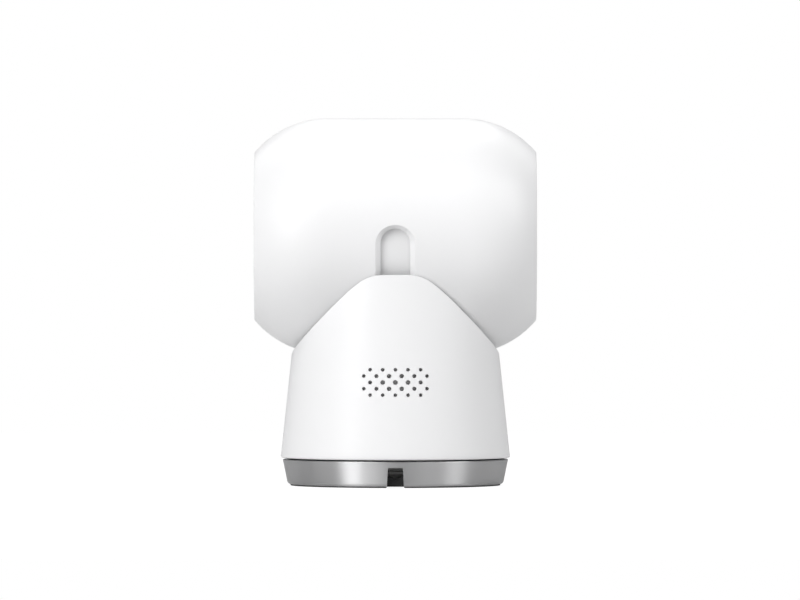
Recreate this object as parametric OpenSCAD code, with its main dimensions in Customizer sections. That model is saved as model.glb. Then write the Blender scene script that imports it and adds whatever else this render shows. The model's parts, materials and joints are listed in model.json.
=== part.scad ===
// Tabletop pan and tilt security camera with two white floodlight windows.
// Origin: on the pan axis, in the plane that the camera rests on.
// +Z is up, the lens looks along -Y, and the grille and cable notch face +Y.

/* [Head] */
// Width of the head barrel from end face to end face
head_w = 80; // [68:1:96]
// Radius of the head barrel at its middle
head_r = 33.5; // [28:0.5:41]
// Half length of the barrel's straight middle
head_flat = 19.3; // [17:0.1:24]
// Radius of the arc that rounds each shoulder of the barrel
head_shoulder = 27; // [24:0.5:30]
// Wall of the head shells
head_wall = 2.2; // [1.8:0.1:2.6]
// How far the flat front face is cut in from the barrel's round
face_inset = 7.9; // [6.5:0.1:9]
// Distance of the tilt axis in front of the pan axis
head_forward = 6.75; // [5.5:0.05:7.5]

/* [Head slot] */
// Width of the neck slot at the outside of the head
slot_out_w = 11.1; // [10.6:0.1:13]
// Width of the neck slot at the inside of the head wall
slot_in_w = 8.3; // [8.2:0.1:9.6]
// Angle of the slot's rear end centre, from straight down towards the rear
slot_rear = 86.8; // [82:0.1:88]
// Angle of the slot's front end centre, from straight down towards the front
slot_front = 30; // [28:1:34]

/* [Body] */
// Radius of the body cone at its lower edge
body_r = 32.55; // [31:0.05:39]
// How much the cone narrows for each millimetre of height
body_taper = 0.1064; // [0.08:0.0001:0.12]
// Wall of the body shell
body_wall = 1.8; // [1.5:0.1:2.1]
// Height of the lowest point of the cradle that the head sits in
cradle_z = 36.45; // [36:0.05:44]
// Gap between the head and its cradle
cradle_gap = 0.6; // [0.6:0.1:1.2]
// Thickness of the cradle
cradle_t = 1.5; // [1.2:0.1:2]
// Height of the collar's top, behind the head, above the cradle's lowest point
collar_rise = 23.4; // [21:0.1:25]

/* [Base] */
// Height of the metal base ring's upper edge
ring_top = 7.4; // [7.4:0.1:9]
// How far the ring's upper edge stands in from the cone above it
ring_inset = 0.58; // [0.4:0.01:1]
// How much the ring narrows downward for each millimetre of height
ring_taper = 0.172; // [0.1:0.001:0.2]
// Thickness of the rubber foot below the ring
foot_h = 0.3; // [0.3:0.1:0.8]
// Shadow gap between the ring and the turning body
pan_gap = 0.45; // [0.4:0.05:0.8]
// Width of the cable notch at its top
notch_top_w = 4.2; // [4:0.1:5]
// Width of the cable notch at the table
notch_low_w = 4.8; // [4.6:0.1:5.6]
// Height of the cable notch's top
notch_h = 5.7; // [5:0.1:6]

/* [Speaker grille] */
// Distance between neighbouring holes in a row
grille_pitch = 3.56; // [3.2:0.01:4]
// Distance between rows
grille_row = 1.78; // [1.7:0.01:2]
// Diameter of the hole in the middle
grille_d_mid = 1.36; // [1.2:0.01:1.6]
// Diameter of the holes at the ends
grille_d_end = 1.0; // [0.8:0.01:1.2]
// Height of the middle row
grille_z = 29.7; // [28:0.1:32]

/* [Face] */
// Radius of the lens window
window_r = 8.9; // [8.5:0.1:9.5]
// Radius of each floodlight window
light_r = 6.4; // [5.8:0.1:6.6]
// Distance of each floodlight window from the lens
light_x = 20.4; // [20:0.1:21.5]

/* [Motion] */
// How far the head tilts up
tilt_up = 80; // [60:1:82]
// How far the head tilts down
tilt_down = 25; // [15:1:27]
// Radius of the neck
neck_r = 3.8; // [3.4:0.1:3.8]
// Radius of the tilt shaft
shaft_r = 2; // [1.8:0.1:2.4]
// Radius of the hub that the body turns on
hub_r = 10; // [9.8:0.1:10.4]
// Tooth size of the pan gears
pan_module = 0.6; // [0.6]
// Teeth of the fixed pan gear
pan_teeth = 38; // [38]
// Tooth size of the tilt gears
tilt_module = 0.5; // [0.5]
// Teeth of the fixed tilt gear
tilt_teeth = 32; // [32]
// Teeth of both motor pinions
pinion_teeth = 12; // [12]

/* [Hidden] */
$fn = 96;
part_gap = 0.1;             // between pieces that are assembled side by side
press_gap = 0.01;           // between pieces pressed together
run_gap = 0.05;             // radial clearance of a running fit
big = 200;                  // longer than the whole object

// Head
dish_r = head_r + cradle_gap;
head_z = cradle_z + dish_r;
face_depth = head_r - face_inset;
seam_y = -2;                // front and rear shells meet here, just ahead of the tilt axis
bezel_t = 1.4;
ledge_t = 1.2;
ledge_w = 2;
bezel_back = -face_depth + bezel_t;
slot_slope = (slot_out_w - slot_in_w) / 2 / head_wall;
shield_gap = 0.3;
shield_t = 0.8;
shield_r = head_r - head_wall - shield_gap;
shield_half = slot_in_w / 2 + 1.05;
shield_rear = slot_rear + tilt_down + 17;   // the shield hides the slot's rear end at full tilt down

// The shield stops short of the bezel's ledge at full tilt down
shield_front = asin((face_depth - bezel_t - ledge_t - 0.6) / shield_r) - tilt_down;

// Dish that holds the head: wider than the head towards its ends
dish_flat = head_flat + 4.6;
dish_shoulder = head_shoulder + 0.6;

// Body
body_z = ring_top + pan_gap;
floor_t = 1.8;
floor_z = body_z + 0.25;
floor_top = floor_z + floor_t;
collar_z = cradle_z + collar_rise;
collar_arc = 11.5;            // radius of the collar's rounded top corners
collar_mid = 3.5;           // half length of the collar's straight top
edge_r = 0.5;               // rounding of the cone's lower edge

// Base
ring_r = body_r - ring_inset;
ring_low_r = ring_r - ring_taper * (ring_top - foot_h);
ring_wall = 1.2;
ring_lip = 1.6;
ring_round = 1.2;
cover_t = 1.6;
deck_t = 1.1;
deck_z = ring_top - 0.1 - deck_t;
deck_top = deck_z + deck_t;
bay_half = 7.2;             // half width of the cable bay
bay_front = 13.5;           // the plug's socket opens here
wall_t = 1;
hub_shoulder = floor_top + 0.2;
spigot_r = hub_r - 2;
gear_t = 2.6;
clip_t = 0.5;
hub_top = hub_shoulder + gear_t + clip_t + 0.1;
screw_r = 1.1;
foot_in = 22;
reset_at = [-14, -4, 0];     // place of the reset button

// Gears
pan_gear_r = pan_module * pan_teeth / 2;
pan_pin_r = pan_module * pinion_teeth / 2;
pan_centre = pan_gear_r + pan_pin_r;
tilt_gear_r = tilt_module * tilt_teeth / 2;
tilt_pin_r = tilt_module * pinion_teeth / 2;
tilt_centre = tilt_gear_r + tilt_pin_r;
motor_r = 7;
motor_h = 8;
motor_z = hub_top + 0.3;
motor_ear_x = 10.3;         // screw places of the pan motor
tilt_motor_r = 6;
tilt_motor_l = 9.6;

// Tilt bearing, measured outward from the middle along the shaft
hub_half = 6.8;
ear_in = 8.5;
ear_t = 2;
tilt_gear_x = ear_in + ear_t + 0.6;
motor_plate_x = tilt_gear_x + gear_t + 0.6;
motor_plate_t = 1.2;
shaft_end = tilt_gear_x + gear_t + 0.3;
bush_r = shaft_r + 1;
clip_x = ear_in + ear_t + 0.3;

// Front assembly, measured back from the flat face
chassis_y = -face_depth + 12.9;
chassis_t = 1.5;
sensor_y = -face_depth + 9.6;
ir_y = -face_depth + 4.1;
boss_x = head_w / 2 - 9;
boss_r = 2.6;

// Body inside
board_z = floor_top + 14.1;
board_t = 1.2;
board_r = body_r - 7;
board_post = [18, 8];
neck_flange_t = 2.5;
neck_boss_z = cradle_z - cradle_t - 2.8;
neck_flange_r = 9;
neck_screw_at = 6.3;
neck_screw_angles = [30, 150, 270];
speaker_r = 10;
speaker_y = body_r - 7.5;
card = [11, 15, 0.7];
card_z = board_z + board_t + 0.6;
boss_angles = [20, 160, 235, 305];
shell_boss_r = 3;
shell_boss_at = body_r - 7;
base_screw_angles = [30, 150, 270];
base_screw_at = 25;

// ---------- helpers ----------
function body_at(z) = body_r - body_taper * (z - body_z);
function arc(centre, r, a0, a1, n = 10) =
    [for (i = [0 : n]) let (a = a0 + (a1 - a0) * i / n) centre + r * [cos(a), sin(a)]];
function polar(r, a) = [r * cos(a), r * sin(a)];

module block(lo, hi) translate(lo) cube(hi - lo);
module rod_x(r, x0, x1) translate([x0, 0, 0]) rotate([0, 90, 0]) cylinder(r = r, h = x1 - x0);
module rod_y(r, y0, y1) translate([0, y0, 0]) rotate([-90, 0, 0]) cylinder(r = r, h = y1 - y0);
module rod_z(r, z0, z1) translate([0, 0, z0]) cylinder(r = r, h = z1 - z0);
module tube_z(r, r_in, z0, z1) difference() {
    rod_z(r, z0, z1);
    rod_z(r_in, z0 - 1, z1 + 1);
}
module tube_y(r, r_in, y0, y1) difference() {
    rod_y(r, y0, y1);
    rod_y(r_in, y0 - 1, y1 + 1);
}
module at_head() translate([0, -head_forward, head_z]) children();
module both_sides(x) for (s = [-1, 1]) translate([s * x, 0, 0]) children();
// A plane part of the face, thick along Y, with its outline drawn in X and Z
module plate_y(y0, y1) translate([0, y1, 0]) rotate([90, 0, 0]) linear_extrude(y1 - y0) children();
module socket_screw_z(shank, length, cap_r = 1.9, cap_h = 1.1) {
    difference() {
        union() {
            rod_z(cap_r, 0, cap_h);
            rod_z(shank, cap_h / 2, cap_h + length);
        }
        translate([0, 0, -1]) cylinder(r = cap_r * 0.5, h = 1 + cap_h * 0.6, $fn = 6);
    }
}

// Half outline of a barrel: x is the radius, y the distance along the axis
module barrel_half(r, shoulder, flat, half) {
    square([r, flat]);
    square([max(r - shoulder, 0.01), half]);
    intersection() {
        translate([r - shoulder, flat]) circle(shoulder, $fn = 180);
        square([r, half]);
    }
}
module barrel(r, shoulder, flat, half) rotate([0, 90, 0]) rotate_extrude($fn = 180) union() {
    barrel_half(r, shoulder, flat, half);
    mirror([0, 1]) barrel_half(r, shoulder, flat, half);
}
module head_barrel(inset) barrel(head_r - inset, head_shoulder - inset, head_flat,
                                 head_w / 2 - inset);
module dish_barrel(grow) barrel(dish_r + grow, dish_shoulder + grow, dish_flat, head_w);

// Tapered slot round the head for the neck, with round ends that the straight part just enters
module slot_cut() {
    lo = head_r - head_wall - 2.4;
    mid = head_r - head_wall;
    hi = head_r + 1;
    w_in = slot_in_w / 2;
    w_hi = slot_out_w / 2 + slot_slope;
    lap = 0.5;
    rotate([0, 90, 0]) rotate([0, 0, -slot_front - lap])
        rotate_extrude(angle = slot_front + slot_rear + 2 * lap, $fn = 180)
            polygon([[lo, -w_in], [mid, -w_in], [hi, -w_hi], [hi, w_hi], [mid, w_in], [lo, w_in]]);
    for (a = [-slot_front, slot_rear]) rotate([a, 0, 0]) mirror([0, 0, 1]) rotate([0, 0, 45])
        rotate_extrude() polygon([[0, lo], [w_in, lo], [w_in, mid], [w_hi, hi], [0, hi]]);
}

// Involute gear outline with the middle of a tooth on +X
function inv(a) = tan(a) * 180 / PI - a;
function tooth_half(r, m, n, slack) = let (rb = m * n / 2 * cos(20))
    90 / n - slack + inv(20) - (r > rb ? inv(acos(rb / r)) : 0);
module gear_outline(m, n) {
    r = m * n / 2;
    slack = 0.09 / r * 180 / PI;
    radii = [for (i = [0 : 4]) r - 1.2 * m + i * 0.53 * m];
    polygon([for (i = [0 : n - 1], s = [-1, 1], k = [0 : 4])
        let (rr = s < 0 ? radii[k] : radii[4 - k], a = i * 360 / n + s * tooth_half(rr, m, n, slack))
        polar(rr, a)]);
}

// ---------- base, which stands still ----------
module notch_cut() plate_y(body_r - 8, body_r + 2)
    polygon([[-notch_low_w / 2, -1], [-notch_low_w / 2, 0], [-notch_top_w / 2, notch_h],
             [notch_top_w / 2, notch_h], [notch_low_w / 2, 0], [notch_low_w / 2, -1]]);

module base_ring() color("silver") difference() {
    rotate_extrude($fn = 180) polygon(concat(
        [[ring_low_r - ring_lip, foot_h]],
        arc([ring_low_r - ring_round, foot_h + ring_round], ring_round, -90, -10),
        [[ring_r, ring_top - 0.15], [ring_r - 0.15, ring_top], [ring_r - ring_wall, ring_top],
         [ring_low_r - ring_wall - 0.4, foot_h + 1.1], [ring_low_r - ring_lip, foot_h + 1.1]]));
    notch_cut();
}

module base_cover() color("dimgray") difference() {
    rod_z(ring_low_r - ring_lip - 0.2, foot_h, foot_h + cover_t);
    block([-bay_half, bay_front, 0], [bay_half, big, big]);
    rod_z(4.5, -1, big);
    translate(reset_at) rod_z(1.7, -1, big);
    for (a = base_screw_angles) translate(polar(base_screw_at, a)) {
        rod_z(screw_r + 0.15, -1, big);
        rod_z(2.1, -1, foot_h + 0.9);
    }
}

module bay_walls() {
    bay_rear = ring_low_r - ring_wall - 1.6;
    for (s = [-1, 1]) translate([s * (bay_half + wall_t / 2), 0, 0])
        block([-wall_t / 2, bay_front - wall_t, foot_h + cover_t + 0.1], [wall_t / 2, bay_rear, deck_z]);
    difference() {
        block([-bay_half, bay_front - wall_t, foot_h + cover_t + 0.1], [bay_half, bay_front, deck_z]);
        block([-4.6, 0, deck_z - 4.5], [4.6, big, deck_z + 1]);
    }
}

module base_chassis() color("dimgray") difference() {
    union() {
        rod_z(ring_r - ring_wall - 0.4, deck_z, deck_top);
        rod_z(hub_r - run_gap, deck_top - 0.1, hub_shoulder);
        rod_z(spigot_r, hub_shoulder - 0.1, hub_top);
        bay_walls();
        for (a = base_screw_angles) translate(polar(base_screw_at, a))
            rod_z(2.8, foot_h + cover_t + 0.05, deck_top - 0.2);
        translate(reset_at) tube_z(3.2, 2, foot_h + cover_t + 0.05, deck_top - 0.2);
    }
    tube_z(spigot_r + 0.02, spigot_r - 0.5, hub_top - clip_t - 0.35, hub_top - 0.25);
    rod_z(5, deck_top, big);
    for (a = base_screw_angles) translate(polar(base_screw_at, a)) rod_z(screw_r - 0.15, 0, deck_z);
    translate([8, -12, 0]) rod_z(1.5, 0, big);
}

module rubber_foot() color("#202020") difference() {
    tube_z(ring_low_r - ring_lip + 0.6, foot_in, 0, foot_h);
    block([-bay_half - 0.4, 0, -1], [bay_half + 0.4, ring_low_r - ring_lip - 1.2, big]);
    block([-notch_low_w / 2 - 0.1, 0, -1], [notch_low_w / 2 + 0.1, big, big]);
}

module tripod_insert() color("goldenrod") difference() {
    union() {
        rod_z(4.4, 0, deck_z - 0.05);
        rod_z(5.6, foot_h + cover_t + 0.05, foot_h + cover_t + 1);
    }
    rod_z(2.55, -1, deck_z - 0.9);
    translate([0, 0, -0.01]) cylinder(r1 = 3.1, r2 = 2.5, h = 0.6);
}

module usb_board() color("darkgreen") {
    block([-12, 6.5, deck_z - 0.85], [12, bay_front - wall_t - 0.1, deck_z - 0.05]);
    for (x = [-9.5, 7]) block([x, 7.5, deck_z - 2.1], [x + 2.5, 11, deck_z - 0.85]);
}

module usb_receptacle() color("silver") {
    z0 = deck_z - 4.05;
    z1 = deck_z - 0.85;
    difference() {
        block([-4.45, 6.9, z0], [4.45, bay_front, z1]);
        block([-4.15, 7.6, z0 + 0.3], [4.15, big, z1 - 0.3]);
    }
    block([-3.3, 7.5, z0 + 1.25], [3.3, bay_front - 0.6, z1 - 1.25]);
}

module cable_clip() color("#3a3a3a") {
    rear = ring_low_r - ring_wall - 1.8;
    half = notch_low_w / 2 + 1.4;
    difference() {
        block([-half, rear - 2.6, foot_h], [half, rear, 3.1]);
        translate([0, 0, 3.9]) rod_y(1.5, rear - 4, rear + 1);
        block([-half - 1, rear - 4, foot_h + 1.3], [-half + 0.9, rear - 1.3, 4]);
        block([half - 0.9, rear - 4, foot_h + 1.3], [half + 1, rear - 1.3, 4]);
    }
    for (s = [-1, 1]) block([s > 0 ? half : -bay_half + 0.02, rear - 1.6, foot_h + 0.2],
                            [s > 0 ? bay_half - 0.02 : -half, rear - 0.2, 2.2]);
}

module base_screws() color("lightgray") for (a = base_screw_angles)
    translate(concat(polar(base_screw_at, a), foot_h))
        socket_screw_z(screw_r - 0.16, deck_z - foot_h - 2.1, 1.9, 0.85);

module reset_button() color("#e8e8e8") translate(reset_at) difference() {
    union() {
        rod_z(1.5, foot_h + 0.25, 4.3);
        rod_z(1.9, 3, 4.3);
    }
    rod_z(0.7, 0, foot_h + 0.55);
}

module pan_washer() color("ivory") tube_z(17, hub_r + 0.1, deck_top, floor_z - 0.05);

module pan_gear() color("white") difference() {
    translate([0, 0, hub_shoulder]) linear_extrude(gear_t)
        rotate(-90) gear_outline(pan_module, pan_teeth);
    rod_z(spigot_r + press_gap, 0, big);
}

module hub_circlip() color("gray") difference() {
    tube_z(spigot_r + 1.1, spigot_r - 0.45, hub_shoulder + gear_t + 0.01, hub_top - 0.3);
    rotate([0, 0, 80]) block([0, -2.2, 0], [big, 2.2, big]);
}

// ---------- body, which pans ----------
module cone(inset, z0, z1) rotate_extrude($fn = 180)
    polygon([[0, z0], [body_at(z0) - inset, z0], [body_at(z1) - inset, z1], [0, z1]]);

// Outline of the collar's rounded top seen from behind
module collar_outline() plate_y(-big / 2, big / 2) polygon(concat(
    [[-big / 2, 0], [big / 2, 0], [body_r + 7.5, collar_z - 22]],
    arc([collar_mid, collar_z - collar_arc], collar_arc, 56.8, 90),
    arc([-collar_mid, collar_z - collar_arc], collar_arc, 90, 123.2),
    [[-body_r - 7.5, collar_z - 22], [-big / 2, 0]]));

module grille_holes() for (row = [-2 : 2]) {
    n = row % 2 == 0 ? 5 : 6;
    for (i = [0 : n - 1]) {
        x = (i - (n - 1) / 2) * grille_pitch;
        off = min(1, norm([x / (2.5 * grille_pitch), row / 2]));
        d = grille_d_mid - (grille_d_mid - grille_d_end) * off * off;
        translate([x, 0, grille_z + row * grille_row]) rod_y(d / 2, body_r - 10, body_r + 2);
    }
}

module body_shell() color("white") difference() {
    union() {
        difference() {
            intersection() {
                rotate_extrude($fn = 180) polygon(concat(
                    [[body_at(body_z) - body_wall, body_z]],
                    arc([body_at(body_z) - edge_r, body_z + edge_r], edge_r, -90, 6, 6),
                    [[body_at(collar_z), collar_z], [body_at(collar_z) - body_wall, collar_z]]));
                collar_outline();
            }
            at_head() dish_barrel(0);
        }
        for (a = boss_angles) intersection() {
            rotate([0, 0, a]) union() {
                translate([shell_boss_at, 0, 0]) rod_z(shell_boss_r, floor_top, floor_top + 8);
                block([shell_boss_at, -1, floor_top], [body_r, 1, floor_top + 8]);
            }
            cone(body_wall / 2, body_z, collar_z);
        }
    }
    grille_holes();
    for (a = boss_angles) translate(polar(shell_boss_at, a))
        rod_z(screw_r - 0.15, floor_top - 1, floor_top + 6.5);
    block([-card[0] / 2 - 0.3, -body_r - 1, card_z - 0.3],
          [card[0] / 2 + 0.3, -body_r + 8, card_z + card[2] + 0.3]);
}

module cradle() color("white") difference() {
    union() {
        intersection() {
            difference() {
                at_head() dish_barrel(cradle_t);
                at_head() dish_barrel(0);
            }
            cone(body_wall + 0.05, 20, collar_z - 0.8);
        }
        translate([0, -head_forward, 0]) difference() {
            rod_z(neck_flange_r, neck_boss_z, cradle_z + 1.4);
            translate([0, 0, head_z]) dish_barrel(0.6);
        }
    }
    translate([0, -head_forward, 0]) {
        rod_z(neck_r + press_gap, 0, head_z);
        for (a = neck_screw_angles) translate(polar(neck_screw_at, a)) rod_z(0.75, 0, neck_boss_z + 2.4);
    }
}

module body_floor() color("gainsboro") difference() {
    union() {
        rod_z(body_at(floor_top) - body_wall - part_gap, floor_z, floor_top);
        for (x = [-1, 1], y = [-1, 1]) translate([x * board_post.x, y * board_post.y, 0])
            rod_z(2, floor_z + 1, board_z);
        both_sides(motor_ear_x) translate([0, -pan_centre, 0]) rod_z(1.9, floor_z + 1, motor_z);
        difference() {
            block([-6, speaker_y - 6.4, floor_z + 1], [6, speaker_y - 3.2, grille_z - 4]);
            translate([0, 0, grille_z - 1]) rod_y(speaker_r + 0.05, 0, big);
        }
    }
    rod_z(hub_r, 0, big);
    for (a = boss_angles) translate(polar(shell_boss_at, a)) {
        rod_z(screw_r + 0.15, 0, big);
        rod_z(2.1, 0, floor_z + 0.9);
    }
    both_sides(motor_ear_x) translate([0, -pan_centre, motor_z - 4]) rod_z(0.7, 0, big);
}

module body_screws() color("lightgray") for (a = boss_angles)
    translate(concat(polar(shell_boss_at, a), floor_z))
        socket_screw_z(screw_r - 0.16, 6.2, 1.9, 0.85);

module pan_motor() color("lightgray") translate([0, -pan_centre, 0]) difference() {
    union() {
        rod_z(motor_r, motor_z, motor_z + motor_h);
        motor_ears();
        block([-3.5, -motor_r - 1.4, motor_z + 1.5], [3.5, -motor_r + 1, motor_z + 6.5]);
        rod_z(2.2, motor_z + motor_h - 0.1, motor_z + motor_h + 0.6);
    }
    rod_z(1.01, motor_z - 1, motor_z + 2.5);
    both_sides(motor_ear_x) rod_z(0.8, 0, big);
}
module motor_ears() difference() {
    union() {
        both_sides(motor_ear_x) rod_z(2.1, motor_z, motor_z + 0.8);
        block([-motor_ear_x, -2.1, motor_z], [motor_ear_x, 2.1, motor_z + 0.8]);
    }
}

module pan_pinion() color("ivory") translate([0, -pan_centre, 0]) {
    translate([0, 0, hub_shoulder + 0.1]) linear_extrude(gear_t - 0.2)
        rotate(90 + 180 / pinion_teeth) gear_outline(pan_module, pinion_teeth);
    rod_z(0.97, hub_shoulder + 0.2, motor_z + 2.4);
}

module speaker_at() translate([0, 0, grille_z - 1]) children();
module speaker_basket() color("#404040") speaker_at() difference() {
    union() {
        rod_y(speaker_r, speaker_y - 1.2, speaker_y);
        translate([0, speaker_y - 5, 0]) rotate([-90, 0, 0]) cylinder(r1 = 6.8, r2 = 9.2, h = 3.9);
    }
    translate([0, speaker_y - 4.2, 0]) rotate([-90, 0, 0]) cylinder(r1 = 6.1, r2 = 8.6, h = 4.3);
    rod_y(8.6, speaker_y - 0.9, big);
    rod_y(5.2, 0, speaker_y - 1);
}
module speaker_cone() color("#252525") speaker_at() difference() {
    union() {
        translate([0, speaker_y - 2.6, 0]) rotate([-90, 0, 0]) cylinder(r1 = 3.2, r2 = 7.4, h = 2);
        tube_y(8.5, 7.2, speaker_y - 0.85, speaker_y - 0.35);
        intersection() {
            translate([0, speaker_y - 4.9, 0]) sphere(4.4);
            rod_y(3.1, speaker_y - 2.5, big);
        }
    }
    translate([0, speaker_y - 2.2, 0]) rotate([-90, 0, 0]) difference() {
        cylinder(r1 = 3.2, r2 = 7.4, h = 2);
        translate([0, 0, -1]) cylinder(r = 3.1, h = 2.4);
    }
}
module speaker_magnet() color("gray") speaker_at() {
    rod_y(7.4, speaker_y - 8.6, speaker_y - 5.05);
    rod_y(4.9, speaker_y - 5.06, speaker_y - 3.2);
}

module grille_cloth() color("#5a5a5a") intersection() {
    difference() {
        cone(body_wall + 0.06, grille_z - 7, grille_z + 7);
        cone(body_wall + 0.46, grille_z - 8, grille_z + 8);
    }
    block([-12, 10, 0], [12, big, big]);
}

module main_board() color("darkgreen") difference() {
    union() {
        intersection() {
            rod_z(board_r, board_z, board_z + board_t);
            block([-big, -big, 0], [big, 12.5, big]);
        }
        for (x = [-20, -14, 12, 17]) block([x, 6, board_z + board_t], [x + 3.4, 10, board_z + board_t + 1.6]);
        block([13, -12, board_z + board_t], [20, -4, board_z + board_t + 1]);
        block([-21, -10, board_z + board_t], [-15, -4, board_z + board_t + 1.1]);
        for (x = [-11 : 2.4 : 11]) block([x, 4.4, board_z + board_t], [x + 1, 5.8, board_z + board_t + 0.6]);
    }
    for (x = [-1, 1], y = [-1, 1]) translate([x * board_post.x, y * board_post.y, 0])
        rod_z(0.8, 0, big);
}

module processor_heatsink() color("#8a8d90") {
    z = board_z + board_t;
    block([-8, -12.5, z], [8, 2.5, z + 1.2]);
    for (y = [-12 : 2.8 : 2]) block([-8, y, z + 1.2], [8, y + 1, z + 3.4]);
}

module card_socket() color("silver") {
    z = board_z + board_t;
    x = card.x / 2 + 1;
    front = -board_r + 1;
    difference() {
        block([-x, front, z], [x, -13.6, z + 1.9]);
        block([-card.x / 2 - 0.15, front - 1, card_z - 0.15], [card.x / 2 + 0.15, -14.2, card_z + card.z + 0.15]);
    }
}

module memory_card() color("#222222") {
    front = -body_at(card_z) + 0.5;
    difference() {
        block([-card.x / 2, front, card_z], [card.x / 2, front + card.y - 0.6, card_z + card.z]);
        translate([card.x / 2, front + card.y, card_z - 1]) rotate([0, 0, 45]) cube([4, 4, 4], center = true);
        block([-3, front + 0.6, card_z + card.z - 0.2], [3, front + 1, big]);
    }
}

module wifi_antenna() color("darkgreen") {
    x = -body_r + 5.6;
    block([x, -10, floor_top], [x + 0.8, 3, floor_top + 11]);
    for (i = [0 : 3]) block([x - 0.2, -9 + i * 3, floor_top + 2], [x, -7.6 + i * 3, floor_top + 10]);
}

// ---------- neck and tilt axle, fixed to the body ----------
module neck_bracket() color("#303234") difference() {
    union() {
        translate([0, -head_forward, 0]) {
            rod_z(neck_flange_r, neck_boss_z - neck_flange_t, neck_boss_z);
            rod_z(neck_r, neck_boss_z - 0.1, head_z);
        }
        at_head() rod_x(4.6, -hub_half, hub_half);
    }
    at_head() rod_x(shaft_r + press_gap, -big, big);
    translate([0, -head_forward, 0]) {
        rod_z(2.2, 0, head_z - 8);
        for (a = neck_screw_angles) translate(polar(neck_screw_at, a)) rod_z(1.0, 0, big / 4);
    }
    at_head() translate([0, 0, -6.6]) rod_y(1.6, -big, big);
}

module neck_screws() color("lightgray") translate([0, -head_forward, neck_boss_z - neck_flange_t - 1])
    for (a = neck_screw_angles) translate(polar(neck_screw_at, a)) socket_screw_z(0.74, neck_flange_t + 2.2, 1.6, 1);

module dust_shield() color("whitesmoke") at_head() difference() {
    rotate([0, 90, 0]) rotate([0, 0, -shield_front])
        rotate_extrude(angle = shield_front + shield_rear, $fn = 180)
            translate([shield_r - shield_t, -shield_half]) square([shield_t, 2 * shield_half]);
    mirror([0, 0, 1]) rod_z(neck_r + press_gap, 20, head_r);
}

module tilt_shaft() color("lightsteelblue") at_head() difference() {
    rod_x(shaft_r, -shaft_end, shaft_end);
    both_sides(clip_x) difference() {
        rod_x(shaft_r + 1, -0.2, 0.2);
        rod_x(shaft_r - 0.35, -1, 1);
    }
}

module tilt_gear() color("white") at_head() difference() {
    translate([tilt_gear_x, 0, 0]) rotate([90, 0, 90]) linear_extrude(gear_t)
        rotate(90) gear_outline(tilt_module, tilt_teeth);
    rod_x(shaft_r + press_gap, 0, big);
}

module shaft_circlips() color("gray") at_head() both_sides(clip_x) difference() {
    rod_x(shaft_r + 1.1, -0.15, 0.15);
    rod_x(shaft_r - 0.3, -1, 1);
    block([-1, -0.9, 0], [1, 0.9, 10]);
}

module friction_washers() color("#6b4f2a") at_head() for (s = [0, 1]) mirror([s, 0, 0]) difference() {
    rod_x(4.2, hub_half + 0.02, ear_in - 0.5);
    rod_x(shaft_r + 0.02, 0, big);
}

// ---------- head, which tilts ----------
module head_hollow() difference() {
    head_barrel(0);
    head_barrel(head_wall);
}

module head_rear_shell() color("white") at_head() difference() {
    union() {
        intersection() {
            head_hollow();
            block([-big, seam_y, -big], [big, big, big]);
        }
        both_sides(boss_x) rod_y(boss_r, chassis_y + chassis_t, 12);
        for (s = [0, 1]) mirror([s, 0, 0])
            block([boss_x, seam_y, -1], [head_w / 2 - head_wall + 0.1, 10, 1]);
    }
    slot_cut();
    both_sides(boss_x) rod_y(screw_r - 0.15, -big, 10);
}

module head_front_shell() color("white") at_head() difference() {
    union() {
        difference() {
            intersection() {
                head_barrel(0);
                block([-big, -face_depth, -big], [big, seam_y, big]);
            }
            intersection() {
                head_barrel(head_wall);
                union() {
                    block([-big, -big, -big], [big, bezel_back, big]);
                    block([-big, bezel_back + ledge_t, -big], [big, big, big]);
                }
            }
            head_barrel(head_wall + ledge_w);
        }
        both_sides(boss_x) rod_y(boss_r, bezel_back + 2.2, chassis_y);
        for (s = [0, 1]) mirror([s, 0, 0])
            block([boss_x, bezel_back + 2.2, -1], [head_w / 2 - head_wall + 0.1, chassis_y, 1]);
    }
    slot_cut();
    both_sides(boss_x) rod_y(screw_r + 0.15, -big, big);
    both_sides(boss_x) rod_y(2.15, -big, bezel_back + 3.7);
}

ir_spots = [[-7.6, 12.4], [7.6, 12.4], [-7.6, -12.4], [7.6, -12.4]];
sensor_spot = [0, 0, 13.8];
signal_spot = [0, 0, -13.8];
voice_spot = [13.2, 0, -13];
module ir_at() for (p = ir_spots) translate([p.x, 0, p.y]) children();

module front_bezel() color("#0c0c0d") at_head() difference() {
    intersection() {
        head_barrel(head_wall + part_gap);
        block([-big, -face_depth, -big], [big, bezel_back, big]);
    }
    rod_y(window_r + 1.6, -big, big);
    both_sides(light_x) rod_y(light_r + part_gap, -big, big);
    ir_at() rod_y(1.6, -big, big);
    translate(sensor_spot) rod_y(1.2, -big, big);
    translate(signal_spot) rod_y(1, -big, big);
    translate(voice_spot) rod_y(0.6, -big, big);
}

module lens_ring() color("#1d1e20") at_head() difference() {
    tube_y(window_r + 1.5, window_r - 0.9, -face_depth - 0.35, bezel_back + 0.4);
    rod_y(window_r + 0.02, -big, bezel_back - 0.3);
}
module lens_window() color("#20242b") at_head() rod_y(window_r, -face_depth - 0.1, bezel_back - 0.32);

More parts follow.
